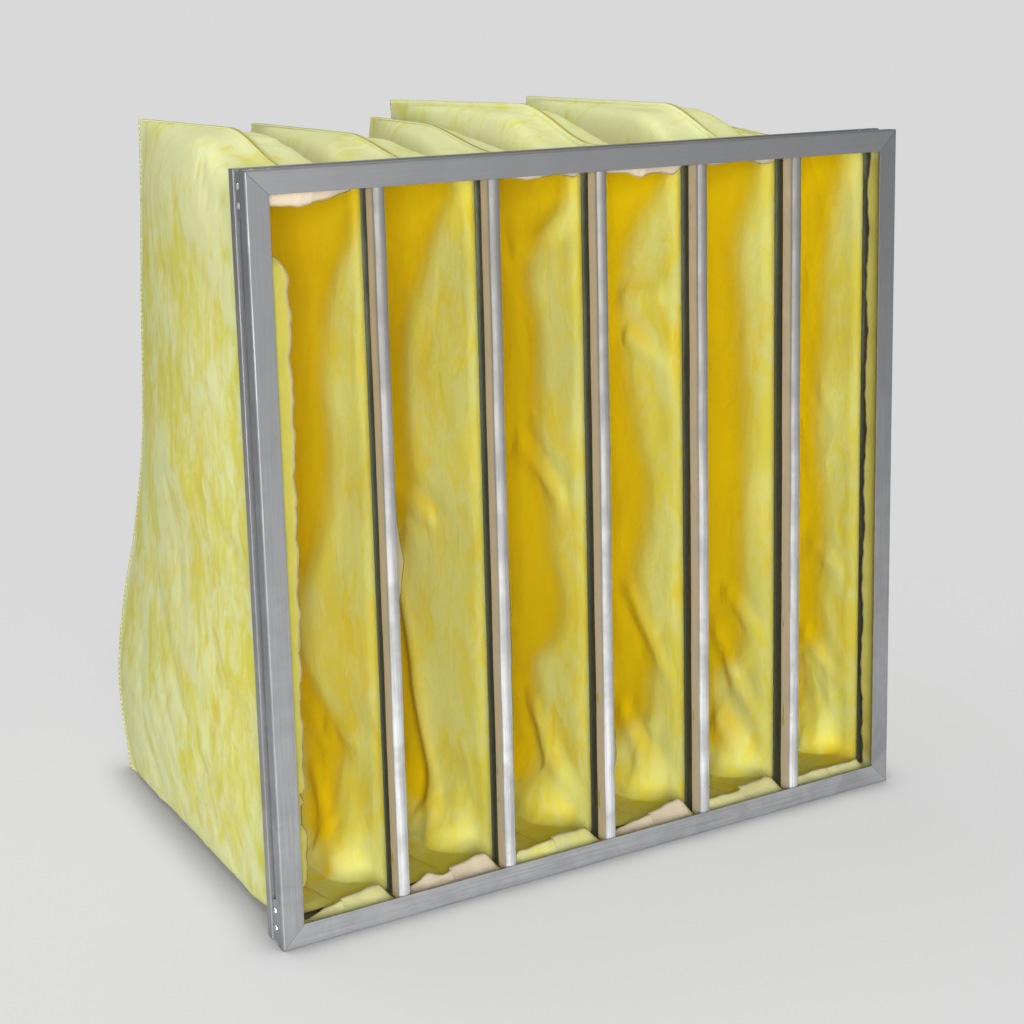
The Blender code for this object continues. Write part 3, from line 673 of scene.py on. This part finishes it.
def dressed(grid, info, number, form, side, outermost):
    """Adds folds and creases to the panel's body, and works out where its inner side is painted deep golden
    as shade. A push is towards the pocket's middle."""
    depth, height = grid[..., 1], grid[..., 2]
    share = info[:, 0][:, None] * np.ones_like(depth)
    free = ease((share - 0.01) / 0.09) * ease((1.0 - share) / 0.07)
    rows = grid.shape[1]
    seams = ease((np.arange(rows) - 1.5) / 4) * ease((rows - 2.5 - np.arange(rows)) / 4)
    free = free * seams[None, :]
    line = curve_through(form["gold_and_painted_shade"], height)
    low = ease((190 - height) / 150)
    creases = crumple(depth, height, 7 * number + side)
    push = creases * (OUTER_CRUMPLE if outermost else INNER_CRUMPLE) * (0.7 + 0.8 * low)
    if side > 0:
        push = push + 1.0 * bump_at(depth - line + 12, 18) - 2.0 * ease((depth - line + 8) / 34)
        # In proportion to the distance from the seam, so that the floor of the pocket isn't folded over it
        clear = np.clip(side * (grid[..., 0] - grid[:, -1:, 0]) / (MOUTH_HALF_WIDE - SEAM_HALF), 0.0, 1.0)
        inwards = ease((depth - 40) / 50) * clear
        deep, reach = FOOT_DENT
        push = push + deep * bump_at(height, reach) * inwards
        deep, reach = FRONT_FOOT_DENT
        push = push + deep * bump_at(height, reach) * inwards * ease((330 - depth) / 90)
        # Painted shade: the right wall is deep golden behind its crest line, less so low down and at the
        # foot.
        gold_and_painted_shade = ease((depth - line + 29) / 58)
        gold_and_painted_shade = gold_and_painted_shade * (1 - 0.7 * ease((125 - height) / 60) * ease((depth - line - 40) / 30))
        for points in form["creases"]:
            off = fold_line(points, depth, height)
            push = push + CREASE_RISE * bump_at(off, 10) - CREASE_DROP * bump_at(off - 14, 12)
            # Painted shade along the fold behind each crease line.
            gold_and_painted_shade = np.maximum(gold_and_painted_shade, 0.5 * bump_at(off - 8, 11) * ease((depth - 50) / 40))
        gold_and_painted_shade = gold_and_painted_shade * ease((height - 10) / 26)
    else:
        # Painted shade: the left wall is deeper golden further into the pocket.
        gold_and_painted_shade = ease((depth - 50) / 60)
    # A wall may not swell out far enough to meet its neighbour
    push = np.where(push < 0, push * 0.55, push)
    grid = grid.copy()
    grid[..., 0] -= side * push * free
    top = ease((height - 556) / 26) * free
    grid[..., 2] -= (np.abs(creases) * 4.0 + 1.5 * (1 - form["seam"])) * top
    return grid, gold_and_painted_shade


def with_thickness(grid, thickness, side):
    """The inner skin: the outer one moved in along its normals."""
    along = np.gradient(grid, axis=0)
    down = np.gradient(grid, axis=1)
    normal = np.cross(along, down)
    normal /= np.maximum(np.linalg.norm(normal, axis=-1, keepdims=True), 1e-9)
    middle = grid.shape[0] - 30, grid.shape[1] // 2
    if normal[middle][0] * side < 0:
        normal = -normal
    return grid - normal * thickness[:, None, None]


def stitches(number, grids, materials):
    """Thread in short stitches along the seam, back along the top, down the back and forward at the foot."""
    points, faces = [], []
    rings, sides = len(STITCH_FORM), STITCH_SIDES
    for side, grid in grids:
        top = (grid[STITCH_COLUMNS:-1, 0] + grid[STITCH_COLUMNS:-1, 1]) / 2
        foot = (grid[STITCH_COLUMNS:-1, -1] + grid[STITCH_COLUMNS:-1, -2]) / 2
        path = np.concatenate((top, grid[-2, 2:-2], foot[::-1]))
        run = run_along(np.linalg.norm(np.diff(path, axis=0), axis=1))
        for start in np.arange(3.0, run[-1] - STITCH_LONG, STITCH_STEP):
            places = [
                np.array([np.interp(at, run, path[:, axis]) for axis in range(3)])
                for at in np.linspace(start, start + STITCH_LONG, rings)
            ]
            along = (places[-1] - places[0]) / np.linalg.norm(places[-1] - places[0])
            out = np.array((side, 0.0, 0.0))
            out = out - along * out.dot(along)
            out /= np.linalg.norm(out)
            across = np.cross(along, out)
            base = len(points)
            for place, (proud, radius) in zip(places, STITCH_FORM):
                for angle in np.linspace(0.0, math.tau, sides + 1)[:-1]:
                    turned = out * (proud + radius * math.cos(angle)) + across * radius * math.sin(angle)
                    points.append(place + turned)
            for ring in range(rings - 1):
                for k in range(sides):
                    a, b = base + sides * ring + k, base + sides * ring + (k + 1) % sides
                    faces.append((a, b, b + sides, a + sides))
            last = base + sides * (rings - 1)
            faces.append(tuple(range(base + sides - 1, base - 1, -1)))
            faces.append(tuple(range(last, last + sides)))
    mesh = bpy.data.meshes.new(f"pocket_{number}_thread")
    mesh.from_pydata(in_place(np.array(points), number).tolist(), [], faces)
    mesh.materials.append(materials["thread"])
    mesh.shade_smooth()
    mesh.update()
    piece = add_object(mesh.name, mesh)
    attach(piece, "root")


def panel(number, form, side, materials):
    """One half of a pocket, left where the side is -1 and right where it is 1, as a cloth with a real
    thickness. Returns the grid of its outer skin."""
    grid, info, raw, outermost = panel_grid(number, form, side)
    grid, gold_and_painted_shade = dressed(grid, info, number, form, side, outermost)
    inner = with_thickness(grid, info[:, 1], side)
    columns, rows = grid.shape[:2]
    count = columns * rows
    index = np.arange(count).reshape(columns, rows)
    quad = np.stack((index[:-1, :-1], index[1:, :-1], index[1:, 1:], index[:-1, 1:]), axis=-1)
    quad = quad.reshape(-1, 4)
    rim = np.concatenate((index[0, :], index[1:, -1], index[-1, -2::-1], index[-2:0:-1, 0]))
    after = np.roll(rim, -1)
    wall = np.stack((rim, after, after + count, rim + count), axis=-1)
    inner_quad = quad[:, ::-1] + count
    if side < 0:
        quad, inner_quad, wall = quad[:, ::-1], inner_quad[:, ::-1], wall[:, ::-1]
    faces = np.concatenate((quad, inner_quad, wall))
    points = in_place(np.concatenate((grid.reshape(-1, 3), inner.reshape(-1, 3))), number)
    word = "left" if side < 0 else "right"
    mesh = bpy.data.meshes.new(f"pocket_{number}_{word}_media")
    mesh.from_pydata(points.tolist(), [], faces.tolist())
    mesh.materials.append(materials["outside"])
    mesh.materials.append(materials["inside"])
    slots = np.concatenate((np.zeros(len(quad)), np.ones(len(quad)), np.zeros(len(wall))))
    mesh.polygons.foreach_set("material_index", slots.astype(np.int32))

    # The fold shows the media's inner side outside, so it is golden too, less so at the top and at the foot
    folded = np.where(np.arange(columns)[:, None] < FOLDED_COLUMNS, 1.0, 0.0)
    folded = folded * (1 - 0.7 * ease((np.abs(grid[..., 2] - HALF_HEADER) - 262) / 20))
    for name, outer, inner_values in (("gold_and_painted_shade", folded, gold_and_painted_shade), ("raw", raw, raw)):
        made = mesh.attributes.new(name, "FLOAT", "POINT")
        values = np.concatenate((outer.reshape(-1), inner_values.reshape(-1)))
        made.data.foreach_set("value", values.astype(np.float32))
    mesh.shade_smooth()
    mesh.update()
    piece = add_object(mesh.name, mesh)
    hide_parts(f"pocket_{number}_{word}_panel")
    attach(piece, "root")
    return grid


def clip_section(half, front, rear, inset):
    """Half of a clip's U-shaped section, from the rear edge of its side to the middle of its front."""
    side = half - inset
    radius = CLIP_ROUND - 0.6 * inset
    shoulder = front + CLIP_CROWN + CLIP_ROUND
    points = [(side, y) for y in np.linspace(rear, shoulder, 5)]
    for angle in np.linspace(0.0, 70.0, 7)[1:]:
        turn = math.radians(angle)
        points.append((side - radius + radius * math.cos(turn), shoulder - radius * math.sin(turn)))
    edge, level = points[-1]
    for x in np.linspace(edge, 0.0, 7)[1:]:
        points.append((x, level - (level - front - inset) * (1 - (x / edge) ** 2)))
    return np.array(points)


def divider_clip(number, materials):
    """A U-shaped clip with a gently rounded front, in place of the part's plainer one."""
    node = f"divider_clip_{number}"
    low, high = (np.array(corner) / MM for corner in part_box(node))
    middle, half = (low[0] + high[0]) / 2, (high[0] - low[0]) / 2
    loop = []
    for inset in (0.0, CLIP_SHEET):
        right = clip_section(half, low[1], high[1], inset)
        left = right[::-1][1:] * (-1, 1)
        loop.append(np.concatenate((right, left)))
    section = np.concatenate((loop[0], loop[1][::-1]))
    draw = np.random.default_rng(300 + number)
    heights = np.linspace(low[2], high[2], CLIP_STEPS)
    waves = sum(
        CLIP_WAVE_HIGH * np.sin(heights / length + draw.uniform(0, math.tau)) for length in CLIP_WAVES
    )
    waves = waves * ease((heights - low[2]) / CLIP_END) * ease((high[2] - heights) / CLIP_END)
    rings = [
        np.column_stack((middle + section[:, 0] + shift * 0.7, section[:, 1], np.full(len(section), z)))
        for z, shift in zip(heights, waves)
    ]
    points = np.concatenate(rings) * MM
    behind = section[:, 1] - low[1] - CLIP_CROWN
    side = np.tile(ease((behind - 0.9) / 1.2), CLIP_STEPS)
    size = len(section)
    index = np.arange(size * CLIP_STEPS).reshape(CLIP_STEPS, size)
    after = np.roll(index, -1, axis=1)
    faces = np.stack((index[:-1], after[:-1], after[1:], index[1:]), axis=-1).reshape(-1, 4).tolist()
    half_count = size // 2
    for ring, turned in ((0, True), (CLIP_STEPS - 1, False)):
        for k in range(half_count - 1):
            opposite = size - 1 - k
            face = [index[ring, k], index[ring, k + 1], index[ring, opposite - 1], index[ring, opposite]]
            faces.append(face[::-1] if turned else face)
    mesh = bpy.data.meshes.new(f"divider_{number}_metal")
    mesh.from_pydata(points.tolist(), [], faces)
    mesh.materials.append(materials["clip"])
    made = mesh.attributes.new("side", "FLOAT", "POINT")
    made.data.foreach_set("value", side.astype(np.float32))
    mesh.shade_smooth()
    mesh.set_sharp_from_angle(angle=math.radians(50))
    mesh.update()
    piece = add_object(mesh.name, mesh)
    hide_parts(node)
    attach(piece, "root")


def dress_metal(materials):
    """Gives the rails, brackets, rivets and rings that are kept from the part their metals."""
    for name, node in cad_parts.items():
        if name.startswith("header_rail"):
            finish = "rail_x" if name.endswith(("top", "bottom")) else "rail_z"
        elif name.startswith("corner"):
            finish = "bracket"
        elif name.startswith("rivet"):
            finish = "rivet"
        elif name.startswith("mouth"):
            finish = "strip"
        else:
            continue
        for slot in node.material_slots:
            slot.material = materials[finish]


def make_camera():
    forward = Vector((
        math.sin(CAMERA_YAW) * math.cos(CAMERA_PITCH),
        math.cos(CAMERA_YAW) * math.cos(CAMERA_PITCH),
        math.sin(CAMERA_PITCH),
    ))
    level = Vector((math.cos(CAMERA_YAW), -math.sin(CAMERA_YAW), 0.0))
    above = level.cross(forward)
    right = math.cos(CAMERA_ROLL) * level + math.sin(CAMERA_ROLL) * above
    up = -math.sin(CAMERA_ROLL) * level + math.cos(CAMERA_ROLL) * above
    camera = bpy.data.cameras.new("camera")
    camera.lens = LENS
    camera.sensor_width = SENSOR
    camera.shift_y = SHIFT_UP
    holder = add_object("camera", camera)
    turned = Matrix((right, up, -forward)).transposed().to_4x4()
    x, y, z = CAMERA_AT
    turned.translation = Vector((x, y + FRONT_Y, z)) * MM
    holder.matrix_world = turned
    bpy.context.scene.camera = holder


def make_floor():
    """A pale floor. The camera sees it in the backdrop's colour, darkened by a painted contact shadow where
    the filter is just above.
    """
    n = Nodes("floor")
    path = n.add("ShaderNodeLightPath")
    seen = n.math("MAXIMUM", path.outputs["Is Camera Ray"], path.outputs["Is Glossy Ray"])
    seen = n.math("MAXIMUM", seen, path.outputs["Is Transmission Ray"])
    # Painted contact shadow: the colour seen is darkened where ambient occlusion finds the filter close
    # above.
    near = n.add("ShaderNodeAmbientOcclusion", {"Distance": 0.045}, samples=12).outputs["AO"]
    painted_contact_shadow = n.ramp(near, 0.35, 0.97, 0.28, 1.0)
    shown = n.add("ShaderNodeEmission", {"Color": BACKDROP, "Strength": painted_contact_shadow})
    lit = n.add("ShaderNodeBsdfDiffuse", {"Color": linear(216, 216, 216)})
    away = n.add("ShaderNodeVectorMath", {0: n.where}, operation="LENGTH").outputs["Value"]
    plain = n.ramp(away, 0.42, 0.95, 0.78, 1.0)
    share = n.math("MULTIPLY", seen, plain)
    both = n.add("ShaderNodeMixShader", {0: share, 1: lit.outputs[0], 2: shown.outputs[0]})
    material = n.finish(both.outputs[0])
    mesh = bpy.data.meshes.new("floor")
    corners = [(x * FLOOR_HALF, y * FLOOR_HALF, 0) for x, y in ((-1, -1), (1, -1), (1, 1), (-1, 1))]
    mesh.from_pydata(corners, [], [(0, 1, 2, 3)])
    mesh.materials.append(material)
    floor = add_object("floor", mesh)


def make_light():
    """Even light from all round, brighter from the left than from the right, and three large soft lamps."""
    world = bpy.data.worlds.new("studio")
    bpy.context.scene.world = world
    world.use_nodes = True
    tree = world.node_tree
    tree.nodes.clear()
    made = {
        key: tree.nodes.new(kind)
        for key, kind in (
            ("path", "ShaderNodeLightPath"),
            ("where", "ShaderNodeTexCoord"),
            ("split", "ShaderNodeSeparateXYZ"),
            ("level", "ShaderNodeMapRange"),
            ("light", "ShaderNodeBackground"),
            ("shown", "ShaderNodeBackground"),
            ("mix", "ShaderNodeMixShader"),
            ("output", "ShaderNodeOutputWorld"),
        )
    }
    brightness = {"From Min": -1.0, "From Max": 1.0, "To Min": WORLD_LEFT, "To Max": WORLD_RIGHT}
    for key, value in brightness.items():
        made["level"].inputs[key].default_value = value
    made["light"].inputs["Color"].default_value = (1.0, 1.0, 1.0, 1.0)
    made["shown"].inputs["Color"].default_value = BACKDROP
    tree.links.new(made["where"].outputs["Generated"], made["split"].inputs[0])
    tree.links.new(made["split"].outputs["X"], made["level"].inputs["Value"])
    tree.links.new(made["level"].outputs["Result"], made["light"].inputs["Strength"])
    tree.links.new(made["path"].outputs["Is Camera Ray"], made["mix"].inputs[0])
    tree.links.new(made["light"].outputs[0], made["mix"].inputs[1])
    tree.links.new(made["shown"].outputs[0], made["mix"].inputs[2])
    tree.links.new(made["mix"].outputs[0], made["output"].inputs[0])
    for name, place, size, power in LAMPS:
        lamp = bpy.data.lights.new(name, "AREA")
        lamp.shape = "SQUARE"
        lamp.size = size
        lamp.energy = power
        holder = add_object(name, lamp)
        holder.location = place
        aim = Vector(LAMPS_AIM) - Vector(place)
        holder.rotation_euler = aim.to_track_quat("-Z", "Y").to_euler()


def main():
    bpy.context.scene.view_settings.view_transform = "Standard"
    materials = make_materials()
    dress_metal(materials)
    for number, form in enumerate(POCKET_FORMS, 1):
        grids = [(side, panel(number, form, side, materials)) for side in (-1, 1)]
        stitches(number, grids, materials)
    for number in range(1, POCKETS):
        divider_clip(number, materials)
    make_camera()
    make_floor()
    make_light()


main()
